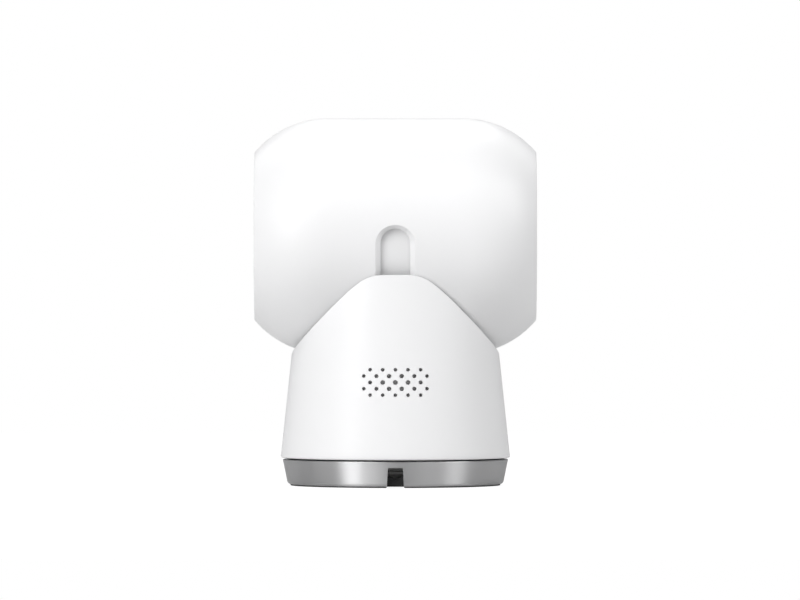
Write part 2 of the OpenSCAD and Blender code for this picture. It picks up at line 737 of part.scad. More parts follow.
module lens_barrel() color("#18191b") at_head() difference() {
    union() {
        rod_y(5.9, -face_depth + 3, sensor_y - 1.4);
        rod_y(6.6, -face_depth + 3, -face_depth + 4);
    }
    translate([0, -face_depth + 2.9, 0]) rotate([-90, 0, 0]) cylinder(r1 = 5.4, r2 = 4.5, h = 1.4);
    rod_y(4.5, -big, sensor_y - 2.6);
    rod_y(3.2, -big, big);
}
module lens_elements() color("#5b6b8c") at_head() {
    intersection() {
        translate([0, -face_depth + 10.6, 0]) sphere(7.3);
        rod_y(4.48, -big, -face_depth + 5.4);
    }
    intersection() {
        translate([0, -face_depth + 3.2, 0]) sphere(4.6);
        rod_y(3.15, sensor_y - 2.4, big);
    }
}
module lens_holder() color("#2a2a2c") at_head() difference() {
    block([-7.4, sensor_y - 3.6, -7.4], [7.4, sensor_y, 7.4]);
    rod_y(5.93, -big, sensor_y - 1.35);
    block([-5, sensor_y - 1.4, -5], [5, sensor_y + 1, 5]);
}
module sensor_board() color("darkgreen") at_head() {
    block([-11, sensor_y, -10], [11, sensor_y + 1, 10]);
    block([-4.2, sensor_y - 1, -3.4], [4.2, sensor_y, 3.4]);
    block([-8, sensor_y + 1, 6], [8, sensor_y + 2, 9]);
}

module infrared_board() color("darkgreen") at_head() difference() {
    block([-11, ir_y, -15], [11, ir_y + 1, 15]);
    rod_y(8.2, -big, big);
}
module infrared_lamps() color("#3b2f3f") at_head() ir_at() {
    rod_y(1.5, -face_depth + 1, ir_y);
    translate([0, -face_depth + 1, 0]) intersection() {
        translate([0, 0.6, 0]) sphere(1.6);
        rod_y(1.4, -1, 0.3);
    }
}
module light_sensor() color("#c9d3d8") at_head() translate(sensor_spot) {
    rod_y(1.1, -face_depth + 0.4, ir_y - 0.9);
    block([-1.4, ir_y - 0.9, -1.1], [1.4, ir_y, 1.1]);
}
module status_light() color("#bfe3ff") at_head() translate(signal_spot) {
    rod_y(0.9, -face_depth + 0.1, ir_y - 0.8);
    rod_y(1.15, ir_y - 1.6, ir_y);
}
module microphone() color("goldenrod") at_head() translate(voice_spot) difference() {
    rod_y(2, bezel_back + 0.05, bezel_back + 1.6);
    rod_y(0.5, -big, bezel_back + 0.6);
}

module light_diffusers() color("#f4f1e6") at_head() both_sides(light_x) {
    rod_y(light_r, -face_depth + 0.2, bezel_back);
    rod_y(light_r + 0.8, bezel_back + 0.02, bezel_back + 0.7);
}
module light_reflectors() color("#d8dadc") at_head() both_sides(light_x) difference() {
    translate([0, bezel_back + 0.75, 0]) rotate([-90, 0, 0]) cylinder(r1 = light_r + 0.3, r2 = 4, h = 5.2);
    translate([0, bezel_back + 0.74, 0]) rotate([-90, 0, 0]) cylinder(r1 = light_r - 0.5, r2 = 3.2, h = 5.22);
}
module light_boards() color("white") at_head() both_sides(light_x) {
    y = bezel_back + 5.97;
    rod_y(6.8, y, y + 1);
    for (a = [0 : 60 : 300]) translate([1.9 * cos(a), 0, 1.9 * sin(a)]) block([-0.7, y - 0.6, -0.7], [0.7, y, 0.7]);
    block([-0.7, y - 0.6, -0.7], [0.7, y, 0.7]);
}
module light_heatsinks() color("#9a9da0") at_head() both_sides(light_x) {
    y = bezel_back + 7;
    block([-6.6, y, -7], [6.6, y + 1.2, 7]);
    for (i = [-3 : 3]) block([i * 2 - 0.4, y + 1.2, -7], [i * 2 + 0.4, chassis_y - 0.05, 7]);
}

module head_chassis() color("#33363a") at_head() difference() {
    union() {
        block([-13, chassis_y, -11.5], [26, chassis_y + chassis_t, 14]);
        block([-26, chassis_y, -9], [13, chassis_y + chassis_t, 10]);
        block([-boss_x - 2.4, chassis_y, -3.4], [boss_x + 2.4, chassis_y + chassis_t, 3.4]);
        for (s = [-1, 1]) translate([s * (ear_in + ear_t / 2), 0, 0]) {
            block([-ear_t / 2, chassis_y + 1, -bush_r - 2], [ear_t / 2, 0, bush_r + 2]);
            rod_x(bush_r + 2, -ear_t / 2, ear_t / 2);
        }
        block([motor_plate_x, chassis_y + 1, 3.5], [motor_plate_x + motor_plate_t, 4, tilt_centre + 4]);
        for (x = [-1, 1], z = [-1, 1]) translate([x * 9.4, 0, z * 8.6]) rod_y(1.1, sensor_y + 1, chassis_y + 1);
    }
    rod_x(bush_r, -big, motor_plate_x - 1);
    translate([0, 0, tilt_centre]) rod_x(2.4, tilt_gear_x, big);
    both_sides(boss_x) rod_y(screw_r + 0.15, -big, big);
}

module tilt_bushes() color("#caa45a") at_head() for (s = [0, 1]) mirror([s, 0, 0]) difference() {
    union() {
        rod_x(bush_r - press_gap, ear_in - 0.3, ear_in + ear_t);
        rod_x(bush_r + 0.9, ear_in - 0.4, ear_in - 0.02);
    }
    rod_x(shaft_r + run_gap, 0, big);
}

module tilt_motor() color("lightgray") at_head() translate([0, 0, tilt_centre]) {
    x = motor_plate_x + motor_plate_t + 0.02;
    difference() {
        union() {
            rod_x(tilt_motor_r, x, x + tilt_motor_l);
            block([x, -tilt_motor_r - 1.6, -2.5], [x + 5.5, -tilt_motor_r + 1, 2.5]);
            rod_x(2.2, x - 0.9, x + 0.1);
        }
        rod_x(0.81, 0, x + 2.5);
    }
}

module tilt_pinion() color("ivory") at_head() translate([0, 0, tilt_centre]) {
    x = motor_plate_x + motor_plate_t + 0.02;
    translate([tilt_gear_x + 0.1, 0, 0]) rotate([90, 0, 90]) linear_extrude(gear_t - 0.2)
        rotate(90 + 180 / pinion_teeth) gear_outline(tilt_module, pinion_teeth);
    rod_x(0.77, tilt_gear_x + 0.2, x + 2.4);
}

module driver_board() color("darkgreen") at_head() {
    y = chassis_y + chassis_t + 0.02;
    block([-25, y, -8], [-13, y + 1, 9]);
    block([-23, y + 1, -6], [-18, y + 4.5, -1]);
    for (z = [1, 5]) block([-22, y + 1, z], [-15, y + 2.6, z + 2.6]);
}

module head_screws() color("lightgray") at_head() both_sides(boss_x)
    translate([0, bezel_back + 2.6, 0]) rotate([-90, 0, 0])
        socket_screw_z(screw_r - 0.16, -bezel_back + 5.6, 2, 1.1);

base_ring();
base_cover();
base_chassis();
rubber_foot();
tripod_insert();
usb_board();
usb_receptacle();
cable_clip();
base_screws();
reset_button();
pan_washer();
pan_gear();
hub_circlip();
body_shell();
cradle();
body_floor();
body_screws();
pan_motor();
pan_pinion();
speaker_basket();
speaker_cone();
speaker_magnet();
grille_cloth();
main_board();
processor_heatsink();
card_socket();
memory_card();
wifi_antenna();
neck_bracket();
neck_screws();
dust_shield();
tilt_shaft();
tilt_gear();
shaft_circlips();
friction_washers();
head_rear_shell();
head_front_shell();
front_bezel();
lens_ring();
lens_window();
lens_barrel();
lens_elements();
lens_holder();
sensor_board();
infrared_board();
infrared_lamps();
light_sensor();
status_light();
microphone();
light_diffusers();
light_reflectors();
light_boards();
light_heatsinks();
head_chassis();
tilt_bushes();
tilt_motor();
tilt_pinion();
driver_board();
head_screws();
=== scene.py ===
# %% [markdown]
# A tabletop pan and tilt security camera with two floodlight windows. The CAD frame already holds
# every part at its place, so this lesson only adds looks: finer skins for the moulded shells, a
# finish for every part, a studio and a camera. Everything is in metres, in the frame's own axes: +Z
# is up, the lens looks along -Y, and the speaker grille faces +Y.

# %% Load the frame
import json
import math

import bmesh
import bpy
import numpy as np
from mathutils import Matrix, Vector


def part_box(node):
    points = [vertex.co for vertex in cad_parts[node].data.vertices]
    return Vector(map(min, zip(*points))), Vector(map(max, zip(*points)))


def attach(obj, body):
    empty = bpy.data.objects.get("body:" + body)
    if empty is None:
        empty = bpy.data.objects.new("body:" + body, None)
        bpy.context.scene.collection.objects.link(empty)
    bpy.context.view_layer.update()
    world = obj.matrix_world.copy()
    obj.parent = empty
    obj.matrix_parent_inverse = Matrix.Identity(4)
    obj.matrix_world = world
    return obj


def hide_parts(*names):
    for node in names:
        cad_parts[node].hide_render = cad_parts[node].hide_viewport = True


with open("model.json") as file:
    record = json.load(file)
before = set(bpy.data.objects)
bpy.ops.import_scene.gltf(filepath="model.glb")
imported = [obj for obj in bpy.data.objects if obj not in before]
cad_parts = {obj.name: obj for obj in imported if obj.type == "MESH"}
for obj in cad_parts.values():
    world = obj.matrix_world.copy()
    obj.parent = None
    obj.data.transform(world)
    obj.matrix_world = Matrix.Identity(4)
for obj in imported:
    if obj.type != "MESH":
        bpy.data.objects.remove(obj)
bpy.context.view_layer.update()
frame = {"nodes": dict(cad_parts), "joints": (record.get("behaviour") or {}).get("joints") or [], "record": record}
nodes = frame["nodes"]
joints = {joint["name"]: joint for joint in frame["joints"]}
scene = bpy.context.scene
MM = 0.001
print("nodes in the frame:", len(nodes))

# %% [markdown]
# The camera comes first. It stands far away with a long lens, so that upright edges
# stay upright, and only just above table height. A view that is almost
# without perspective is easiest to set from the width that it should take in.

# %% Camera behind the object
VIEW_DISTANCE = 3.4
VIEW_ELEVATION = 0.75
VIEW_WIDTH = 0.22696
SENSOR_MM = 36
aim = Vector((-0.0013, 0, 0.05251))
camera_data = bpy.data.cameras.new("studio_camera")
camera_data.sensor_width = SENSOR_MM
camera_data.lens = SENSOR_MM * VIEW_DISTANCE / VIEW_WIDTH
camera_data.clip_end = 50
camera_object = bpy.data.objects.new("studio_camera", camera_data)
scene.collection.objects.link(camera_object)
tilt = math.radians(VIEW_ELEVATION)
camera_object.location = aim + VIEW_DISTANCE * Vector((0, math.cos(tilt), math.sin(tilt)))
camera_object.rotation_euler = (aim - camera_object.location).to_track_quat("-Z", "Y").to_euler()
scene.camera = camera_object
print("focal length %.0f mm" % camera_data.lens)

# %% [markdown]
# The light is a ring of softboxes. The key hangs high behind the camera, a little to the left of the
# view, and draws the broad bright band on the head. An upright strip, lower and further left,
# gives the body its soft highlight and the metal ring its bright band. Weak boxes on both sides, two
# rims and a fill from the front keep the other sides readable.

# %% Softboxes
LIGHT_DISTANCE = 1.2
LIGHT_AIM = Vector((0, 0, 0.055))
SOFTBOXES = (  # name, azimuth from +Y towards +X, elevation, width and height, power
    ("key", 30, 50, (0.4, 0.6), 5.9),
    ("strip", 47, 15, (0.4, 0.6), 5.4),
    ("side_left", 85, 20, (0.3, 0.5), 0.4),
    ("fill_right", -38, 45, (0.5, 0.6), 2.3),
    ("side_right", -70, 30, (0.4, 0.6), 4.0),
    ("rim_left", 140, 35, (0.4, 0.6), 1.3),
    ("rim_right", -140, 35, (0.4, 0.6), 1.3),
    ("front_fill", 180, 50, (0.7, 0.5), 4.2),
)


def softbox(name, azimuth, elevation, size, power):
    """An area light that faces the object."""
    data = bpy.data.lights.new(name, "AREA")
    data.shape = "RECTANGLE"
    data.size, data.size_y = size
    data.energy = power
    light = bpy.data.objects.new(name, data)
    scene.collection.objects.link(light)
    a, e = math.radians(azimuth), math.radians(elevation)
    light.location = LIGHT_AIM + LIGHT_DISTANCE * Vector(
        (math.sin(a) * math.cos(e), math.cos(a) * math.cos(e), math.sin(e)))
    light.rotation_euler = (LIGHT_AIM - light.location).to_track_quat("-Z", "Y").to_euler()


for light_row in SOFTBOXES:
    softbox(*light_row)
print("softboxes:", len(SOFTBOXES))

# %% [markdown]
# Behind the object stands a white sweep that is lit so brightly that it shows as plain white. Lit
# that way for real, it would also flood the object with light from all sides. So the white is mixed
# in for the camera's own rays only, with the Light Path node, over a room that gives a little even
# light and over a pale floor that still takes a faint contact shadow.

# %% Pale room and floor
ROOM_LIGHT = 0.19
FLOOR_HALF = 0.6
FLOOR_DROP = 0.00005


def white_to_camera(tree, shader, output, share, strength):
    """Mix plain white over a shader, for the camera's rays only."""
    mix = tree.nodes.new("ShaderNodeMixShader")
    white = tree.nodes.new("ShaderNodeEmission" if output.bl_idname.endswith("Material")
                           else "ShaderNodeBackground")
    white.inputs["Color"].default_value = (1, 1, 1, 1)
    white.inputs["Strength"].default_value = strength
    path = tree.nodes.new("ShaderNodeLightPath")
    amount = tree.nodes.new("ShaderNodeMath")
    amount.operation = "MULTIPLY"
    amount.inputs[1].default_value = share
    tree.links.new(path.outputs["Is Camera Ray"], amount.inputs[0])
    tree.links.new(amount.outputs[0], mix.inputs["Fac"])
    tree.links.new(shader.outputs[0], mix.inputs[1])
    tree.links.new(white.outputs[0], mix.inputs[2])
    tree.links.new(mix.outputs[0], output.inputs["Surface"])


world = bpy.data.worlds.new("pale_room")
scene.world = world
world.use_nodes = True
room = world.node_tree
room_light = room.nodes["Background"]
room_light.inputs["Color"].default_value = (0.985, 0.99, 1, 1)
room_light.inputs["Strength"].default_value = ROOM_LIGHT
white_to_camera(room, room_light, room.nodes["World Output"], 1.0, 1.0)
scene.view_settings.view_transform = "Standard"

bpy.ops.mesh.primitive_plane_add(size=2 * FLOOR_HALF, location=(0, 0, -FLOOR_DROP))
floor = bpy.context.object
floor.name = "floor"
print("floor %.1f m wide" % (2 * FLOOR_HALF))

# %% [markdown]
# Finishes are built from two shared effects. Each is a node group with named inputs, made once and
# placed in each material with its own numbers. One is the fine grain of a moulded surface with a
# slow drift in tone, which keeps large plain areas from looking flat. The other is the fine rings
# that a lathe leaves. Image textures could do the same, but they need files and a fixed resolution.

# %% Shared effects as node groups


def new_group(name, inputs, outputs):
    """An empty shader group with float sockets, and its two end nodes."""
    group = bpy.data.node_groups.new(name, "ShaderNodeTree")
    for label, value in inputs:
        socket = group.interface.new_socket(label, in_out="INPUT", socket_type="NodeSocketFloat")
        socket.default_value = value
    for label in outputs:
        group.interface.new_socket(label, in_out="OUTPUT", socket_type="NodeSocketFloat")
    return group, group.nodes.new("NodeGroupInput"), group.nodes.new("NodeGroupOutput")


def moulded_grain_group():
    """Fine spark-eroded grain and slow tone drift, both as values from 0 to 1."""
    group, inside, outside = new_group(
        "moulded_grain", [("Grain per metre", 5000), ("Drift per metre", 25)], ["Grain", "Drift"])
    place = group.nodes.new("ShaderNodeTexCoord")
    for label, detail, output in (("Grain per metre", 3, "Grain"), ("Drift per metre", 2, "Drift")):
        noise = group.nodes.new("ShaderNodeTexNoise")
        noise.inputs["Detail"].default_value = detail
        group.links.new(place.outputs["Object"], noise.inputs["Vector"])
        group.links.new(inside.outputs[label], noise.inputs["Scale"])
        group.links.new(noise.outputs["Fac"], outside.inputs[output])
    return group


def lathe_rings_group():
    """Fine rings round the Z axis, broken up a little, as a turned surface has."""
    group, inside, outside = new_group(
        "lathe_rings", [("Rings per metre", 9000), ("Smear per metre", 60)], ["Rings", "Smear"])
    place = group.nodes.new("ShaderNodeTexCoord")
    split = group.nodes.new("ShaderNodeSeparateXYZ")
    group.links.new(place.outputs["Object"], split.inputs[0])
    rings = group.nodes.new("ShaderNodeTexNoise")
    rings.noise_dimensions = "1D"
    rings.inputs["Detail"].default_value = 4
    group.links.new(split.outputs["Z"], rings.inputs["W"])
    group.links.new(inside.outputs["Rings per metre"], rings.inputs["Scale"])
    group.links.new(rings.outputs["Fac"], outside.inputs["Rings"])
    smear = group.nodes.new("ShaderNodeTexNoise")
    group.links.new(place.outputs["Object"], smear.inputs["Vector"])
    group.links.new(inside.outputs["Smear per metre"], smear.inputs["Scale"])
    group.links.new(smear.outputs["Fac"], outside.inputs["Smear"])
    return group


grain_group = moulded_grain_group()
rings_group = lathe_rings_group()
print("shared effects:", grain_group.name, "and", rings_group.name)

# %% [markdown]
# One function makes a moulded or machined finish from those effects: colour that drifts very
# slightly, roughness that follows the grain, and a bump from the grain itself. What stays the same
# all over a surface is set on the shader, and only what varies is linked to it.

# %% Finish maker
BUMP_DEPTH = 0.0001


def shade(colour, factor):
    """The colour made lighter or darker, with its alpha."""
    return tuple(min(1, c * factor) for c in colour) + (1,)


def map_range(tree, source, low, high):
    """A value from 0 to 1 brought between two limits."""
    node = tree.nodes.new("ShaderNodeMapRange")
    node.inputs["To Min"].default_value = low
    node.inputs["To Max"].default_value = high
    tree.links.new(source, node.inputs["Value"])
    return node.outputs["Result"]


def finish(name, colour, roughness, grain=5000, bump=0.02, drift=0.03, rough_span=0.06,
           metallic=0.0, rings=False, **shader_values):
    """A material whose tone, roughness and bump come from the shared effects."""
    material = bpy.data.materials.new(name)
    material.use_nodes = True
    tree = material.node_tree
    shader = tree.nodes["Principled BSDF"]
    shader.inputs["Metallic"].default_value = metallic
    for label, value in shader_values.items():
        shader.inputs[label.replace("_", " ")].default_value = value
    effect = tree.nodes.new("ShaderNodeGroup")
    effect.node_tree = rings_group if rings else grain_group
    effect.inputs[0].default_value = grain
    fine, slow = effect.outputs[0], effect.outputs[1]
    tone = tree.nodes.new("ShaderNodeMix")
    tone.data_type = "RGBA"
    tone.inputs["A"].default_value = shade(colour, 1 - drift)
    tone.inputs["B"].default_value = shade(colour, 1 + drift)
    tree.links.new(slow, tone.inputs["Factor"])
    tree.links.new(tone.outputs["Result"], shader.inputs["Base Color"])
    tree.links.new(map_range(tree, fine, roughness - rough_span, roughness + rough_span),
                   shader.inputs["Roughness"])
    relief = tree.nodes.new("ShaderNodeBump")
    relief.inputs["Strength"].default_value = bump
    relief.inputs["Distance"].default_value = BUMP_DEPTH
    tree.links.new(fine, relief.inputs["Height"])
    tree.links.new(relief.outputs["Normal"], shader.inputs["Normal"])
    if shader_values.get("Anisotropic"):
        turning = tree.nodes.new("ShaderNodeTangent")
        turning.direction_type = "RADIAL"
        turning.axis = "Z"
        tree.links.new(turning.outputs["Tangent"], shader.inputs["Tangent"])
    return material


print("finish maker ready")

# %% [markdown]
# The outside comes first. The shells are white ABS with a fine spark-eroded texture, so their gloss
# is broad and soft, and their tone hardly drifts. The base ring is satin aluminium, turned on a
# lathe: its grooves run round the object, so the highlight is stretched upright. Anisotropy does
# that, with a tangent that runs round Z and a quarter turn between the grooves and the highlight.

# %% Finishes of the outside
finishes = {}


def add(name, colour, roughness, **values):
    """Make a finish and keep it under its name."""
    finishes[name] = finish(name, colour, roughness, **values)


add("white_shell", (0.86, 0.86, 0.865), 0.42, grain=9000, bump=0.05, drift=0.006,
    Specular_IOR_Level=0.45)
add("grey_shield", (0.84, 0.84, 0.845), 0.4, grain=9000, bump=0.05)
add("satin_metal", (0.62, 0.62, 0.625), 0.46, grain=26000, bump=0.02, metallic=1.0, rings=True,
    drift=0.01, rough_span=0.02, Anisotropic=0.93, Anisotropic_Rotation=0.25)
add("soft_rubber", (0.03, 0.03, 0.031), 0.75, grain=2500, bump=0.4)
add("grille_cloth", (0.5, 0.5, 0.5), 0.8, grain=5000, bump=0.6)
add("button_grey", (0.6, 0.6, 0.6), 0.45)
add("card_black", (0.02, 0.02, 0.021), 0.4, grain=5000)
print("outside finishes:", len(finishes))

# %% [markdown]
# The face is a window of black gloss plastic. Behind it sit the lens, the infrared lamps and the two
# floodlights. Glass is a transmissive shader with a thin coat, and the floodlight windows are opal:
# a little subsurface scattering, the same for all colours, carries light sideways as a diffuser does.

# %% Finishes of the face
add("gloss_black", (0.006, 0.006, 0.007), 0.07, grain=3000, bump=0.01, rough_span=0.015,
    Coat_Weight=0.6)
add("lens_trim", (0.02, 0.02, 0.021), 0.28, grain=6000)
add("lens_glass", (0.36, 0.38, 0.42), 0.03, grain=2000, bump=0.0, rough_span=0.01,
    Transmission_Weight=1.0, IOR=1.5, Coat_Weight=0.5)
add("lamp_lens", (0.05, 0.03, 0.045), 0.12, grain=3000, bump=0.01)
add("opal", (0.88, 0.865, 0.82), 0.3, grain=4000, Subsurface_Weight=0.3,
    Subsurface_Radius=(1, 1, 1), Subsurface_Scale=0.0005)
add("mirror_cup", (0.82, 0.82, 0.83), 0.12, grain=3000, metallic=1.0, bump=0.03)
print("finishes with the face:", len(finishes))

# %% [markdown]
# The inside parts show when the model is taken apart. Turned brass and steel have lathe rings,
# pressed and plated steel has a plain grain, gears are cream acetal, and circuit boards get a strong
# drift in tone, which stands for copper seen faintly through the green lacquer.

# %% Finishes of the inside
add("dark_plastic", (0.045, 0.046, 0.05), 0.5, grain=3500, bump=0.3)
add("brass", (0.7, 0.5, 0.2), 0.28, grain=12000, metallic=1.0, rings=True, bump=0.1)
add("plated_steel", (0.58, 0.58, 0.57), 0.32, grain=6000, metallic=1.0, bump=0.1)
add("shaft_steel", (0.62, 0.63, 0.65), 0.2, grain=12000, metallic=1.0, bump=0.05)
add("gear_plastic", (0.78, 0.75, 0.66), 0.35, grain=4000)
add("washer_fibre", (0.62, 0.56, 0.44), 0.6, grain=3000, bump=0.3)
add("speaker_black", (0.03, 0.03, 0.032), 0.6, grain=2500, bump=0.2)
add("heatsink", (0.5, 0.5, 0.52), 0.4, grain=8000, metallic=1.0, bump=0.15)
add("white_board", (0.8, 0.8, 0.78), 0.45, grain=5000)
add("circuit_board", (0.02, 0.13, 0.06), 0.35, grain=2500, bump=0.15, drift=0.15)
print("finishes in all:", len(finishes))

# %% [markdown]
# Every part takes the finish that the record names for it. The CAD meshes keep their shape: smooth
# shading hides their facets, and edges sharper than a set angle stay crisp. The floor is pale and
# matt, and the camera sees mostly white in it.

# %% Dress the parts and the floor
CRISP_ANGLE = 32
FLOOR_WHITE_SHARE = 0.75
FLOOR_WHITE_STRENGTH = 1.2
slot_of = {part["node"]: part["material_slot"] for part in frame["record"]["subparts"]}


def dress(piece, slot):
    """Give a piece one of the finishes."""
    piece.data.materials.clear()
    piece.data.materials.append(finishes[slot])


for name, part in nodes.items():
    dress(part, slot_of[name])
    part.data.shade_smooth()
    part.data.set_sharp_from_angle(angle=math.radians(CRISP_ANGLE))
floor_finish = finish("pale_floor", (0.62, 0.62, 0.62), 0.6, grain=400, bump=0.0, drift=0.004)
floor.data.materials.append(floor_finish)
floor_tree = floor_finish.node_tree
white_to_camera(floor_tree, floor_tree.nodes["Principled BSDF"], floor_tree.nodes["Material Output"],
                FLOOR_WHITE_SHARE, FLOOR_WHITE_STRENGTH)
print("parts dressed:", len(nodes))

# %% [markdown]
# The CAD shells are exact but bare: every edge is a perfect knife edge. Real moulded shells have small
# radii, which catch thin highlights, so the outer shells are modelled again as finer skins. Each skin
# is a grid of points worked out from the same sizes as the CAD, measured on the frame's own boxes.

# %% Sizes of the shells
FLAT_HALF = 0.0193
SHOULDER_R = 0.027
HEAD_WALL = 0.0022
DISH_FLAT_EXTRA = 0.0046
DISH_SHOULDER_EXTRA = 0.0006
CRADLE_GAP = 0.0006
BODY_WALL = 0.0018
BODY_TAPER = 0.1064
COLLAR_ARC = 0.0115
COLLAR_MID = 0.0035
shell_low, shell_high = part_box("head_rear_shell")
body_low, body_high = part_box("body_shell")
axle = Vector(joints["head_tilt"]["pos_m"])
HEAD_HALF = shell_high.x
HEAD_R = shell_high.z - axle.z
SEAM_Y = shell_low.y - axle.y
FACE_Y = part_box("head_front_shell")[0].y - axle.y
BODY_R = body_high.x
BODY_Z = body_low.z
COLLAR_Z = body_high.z
print("head radius %.2f mm, body radius %.2f mm" % (HEAD_R / MM, BODY_R / MM))

# %% [markdown]
# Two small tools make every skin: one joins rows of points into a closed sheet, and one cuts a piece
# with another. A subdivision surface could also round the edges, but it would shrink the sizes that
# the CAD gives, and a cut made after it would need a support loop round every hole.

# %% Sheets and cuts


def sheet(rows, close_rows=True, close_columns=True):
    """Faces and points of a grid; rows is an array of row, column and coordinate."""
    count, width = rows.shape[:2]
    points = rows.reshape(-1, 3)
    r = np.arange(count if close_rows else count - 1)
    c = np.arange(width if close_columns else width - 1)
    r, c = np.meshgrid(r, c, indexing="ij")
    r_next, c_next = (r + 1) % count, (c + 1) % width
    faces = np.stack([r * width + c, r * width + c_next, r_next * width + c_next,
                      r_next * width + c], axis=-1).reshape(-1, 4)
    return points, faces


def new_piece(name, parts):
    """One object from several (points, faces) parts."""
    mesh = bpy.data.meshes.new(name)
    points, faces, start = [], [], 0
    for part_points, part_faces in parts:
        points.append(np.asarray(part_points, float))
        faces += [[int(i) + start for i in face] for face in part_faces]
        start += len(part_points)
    mesh.from_pydata(np.concatenate(points).tolist(), [], faces)
    piece = bpy.data.objects.new(name, mesh)
    scene.collection.objects.link(piece)
    tidy = bmesh.new()
    tidy.from_mesh(mesh)
    bmesh.ops.remove_doubles(tidy, verts=tidy.verts, dist=1e-7)
    bmesh.ops.dissolve_degenerate(tidy, dist=1e-8, edges=tidy.edges)
    bmesh.ops.recalc_face_normals(tidy, faces=tidy.faces)
    tidy.to_mesh(mesh)
    tidy.free()
    return piece


def cut(piece, tool, operation="DIFFERENCE"):
    """Cut the piece with the tool, and remove the tool."""
    step = piece.modifiers.new("cut", "BOOLEAN")
    step.operation = operation
    step.solver = "MANIFOLD"
    step.object = tool
    bpy.context.view_layer.update()
    shape = bpy.data.meshes.new_from_object(piece.evaluated_get(bpy.context.evaluated_depsgraph_get()))
    piece.modifiers.clear()
    piece.data = shape
    bpy.data.objects.remove(tool)
    if not shape.polygons:
        raise RuntimeError("the cut left nothing of " + piece.name)
    return piece


def lathe_z(profile, steps=360):
    """Closed profile of (radius, height) turned round Z."""
    turn = np.linspace(0, 2 * math.pi, steps, endpoint=False)
    profile = np.asarray(profile, float)
    rows = np.stack([profile[:, None, 0] * np.cos(turn), profile[:, None, 0] * np.sin(turn),
                     np.broadcast_to(profile[:, None, 1], (len(profile), steps))], axis=-1)
    return sheet(rows)


def lathe_y(profile, centre, steps=180):
    """Closed profile of (radius, distance along Y) turned round an axis along Y."""
    turn = np.linspace(0, 2 * math.pi, steps, endpoint=False)
    profile = np.asarray(profile, float)
    rows = np.stack([centre[0] + profile[:, None, 0] * np.cos(turn),
                     centre[1] + np.broadcast_to(profile[:, None, 1], (len(profile), steps)),
                     centre[2] + profile[:, None, 0] * np.sin(turn)], axis=-1)
    return sheet(rows)


print("sheets and cuts ready")

# %% [markdown]
# A radius on an edge is drawn once, in the section of the piece, as a fan of points between the two
# straight sides. The same fan serves for turned pieces and for moulded walls.

# %% Edge radii and boxes


def box_part(low, high):
    """Points and faces of a box between two corners, for cutting with."""
    corners = [[(low, high)[i][0], (low, high)[j][1], (low, high)[k][2]]
               for i in (0, 1) for j in (0, 1) for k in (0, 1)]
    return corners, [[0, 1, 3, 2], [4, 6, 7, 5], [0, 4, 5, 1], [2, 3, 7, 6], [0, 2, 6, 4], [1, 5, 7, 3]]


def fillet(corner, before, after, radius, steps=5):
    """Points of an arc that rounds a corner between two neighbours, all in one plane."""
    corner, before, after = (np.asarray(p, float) for p in (corner, before, after))
    a, b = before - corner, after - corner
    a, b = a / np.linalg.norm(a), b / np.linalg.norm(b)
    half = math.acos(max(-1, min(1, float(a @ b)))) / 2
    reach = radius / math.tan(half)
    middle = corner + (a + b) / np.linalg.norm(a + b) * radius / math.sin(half)
    start, end = corner + a * reach - middle, corner + b * reach - middle
    span = math.acos(max(-1, min(1, float(start @ end) / radius ** 2)))
    return [middle + (math.sin((1 - t) * span) * start + math.sin(t * span) * end) / math.sin(span)
            for t in np.linspace(0, 1, steps)]


def rounded(profile, radii, steps=5):
    """A closed profile with each corner rounded by its own radius; 0 leaves it sharp."""
    points = []
    for i, (corner, radius) in enumerate(zip(profile, radii)):
        if radius:
            points += fillet(corner, profile[i - 1], profile[(i + 1) % len(profile)], radius, steps)
        else:
            points.append(np.asarray(corner, float))
    return points


print("edge tools ready")

# %% [markdown]
# A cut through a curved wall leaves long thin faces round it, and their averaged normals would show
# as a smudge in the gloss. So each curved wall also gets its exact normals, worked out from the cone
# or barrel that it is. Shading then stays clean right up to the edge of a hole.

# %% Smooth shading with exact normals
ON_WALL = 0.00004
SAME_WAY = 0.96


def smooth(piece, angle=30, exact=None):
    """Smooth shading with sharp edges; exact gives (distance off, normal) for points of a wall."""
    mesh = piece.data
    mesh.shade_smooth()
    mesh.set_sharp_from_angle(angle=math.radians(angle))
    if exact is None:
        return
    count = len(mesh.loops)
    normals = np.empty(count * 3, np.float32)
    mesh.corner_normals.foreach_get("vector", normals)
    normals = normals.reshape(-1, 3)
    points = np.empty(len(mesh.vertices) * 3, np.float32)
    mesh.vertices.foreach_get("co", points)
    corners = np.empty(count, np.int32)
    mesh.loops.foreach_get("vertex_index", corners)
    faces = np.empty(len(mesh.polygons) * 3, np.float32)
    mesh.polygons.foreach_get("normal", faces)
    totals = np.empty(len(mesh.polygons), np.int32)
    mesh.polygons.foreach_get("loop_total", totals)
    faces = np.repeat(faces.reshape(-1, 3), totals, axis=0)
    places = points.reshape(-1, 3)[corners]
    off, wanted = exact(places.astype(float))
    near = (np.abs(off) < ON_WALL) & ((wanted * faces).sum(1) > SAME_WAY)
    normals[near] = wanted[near]
    mesh.normals_split_custom_set(normals.tolist())


def carry(piece, slot, body, *replaced):
    """Give a new piece its finish and body, and hide the CAD nodes that it stands for."""
    dress(piece, slot)
    if replaced:
        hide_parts(*replaced)
    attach(piece, body)


print("shading tool ready")

# %% [markdown]
# The body is a cone that is cut from above by the barrel-shaped dish that the head sits in, and from
# behind by the rounded outline of the collar. Round every angle the cut meets the wall at another
# height, so the wall's section is worked out angle by angle: up the outside, over the rim with its
# small radius, and down the inside. The rim's radius is largest at the sides, where the wall is cut
# straight across, and small behind the head, where the rim is thin.

